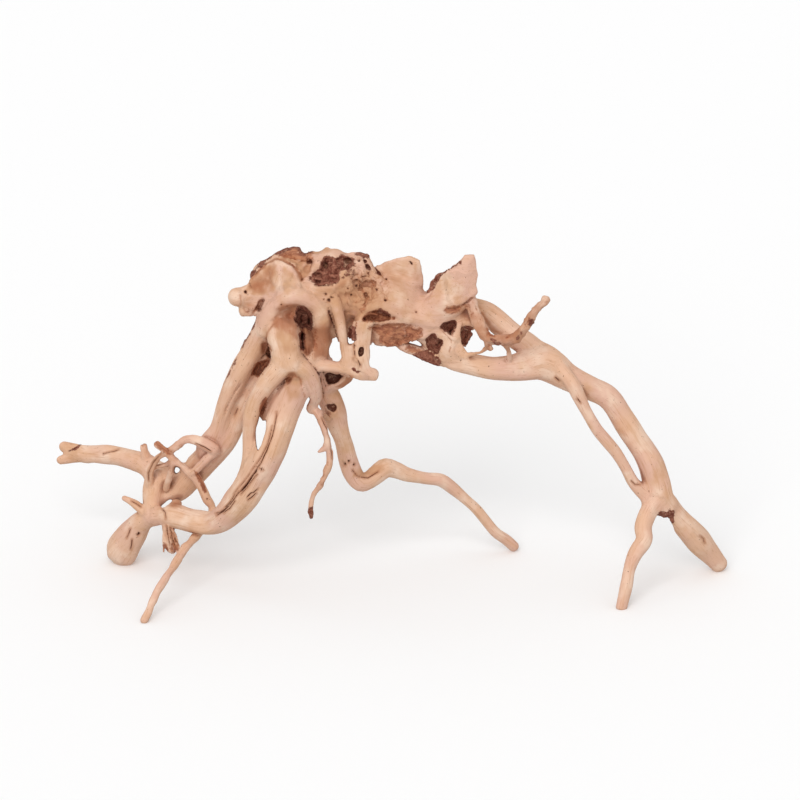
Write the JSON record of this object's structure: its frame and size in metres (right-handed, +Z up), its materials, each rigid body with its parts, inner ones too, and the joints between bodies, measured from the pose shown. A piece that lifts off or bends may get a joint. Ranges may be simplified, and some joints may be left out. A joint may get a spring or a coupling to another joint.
{
  "type": "bogwood root",
  "caption": "Washed bogwood root: a gnarled hollow trunk bridging several bare, twisting legs and twigs, standing on its tips as an aquarium arch.",
  "frame": {"origin": "On the floor, under the middle of the root's box.", "axes": "X runs along the root from the left arm to the right foot, Y runs from the front twig to the back, Z is up."},
  "size_m": [0.3368, 0.1209, 0.1803],
  "materials": {
    "wood": "dry, washed, matt, with dark bark in the hollows"
  },
  "bodies": {
    "root": {"root": "wood"}
  },
  "joints": []
}
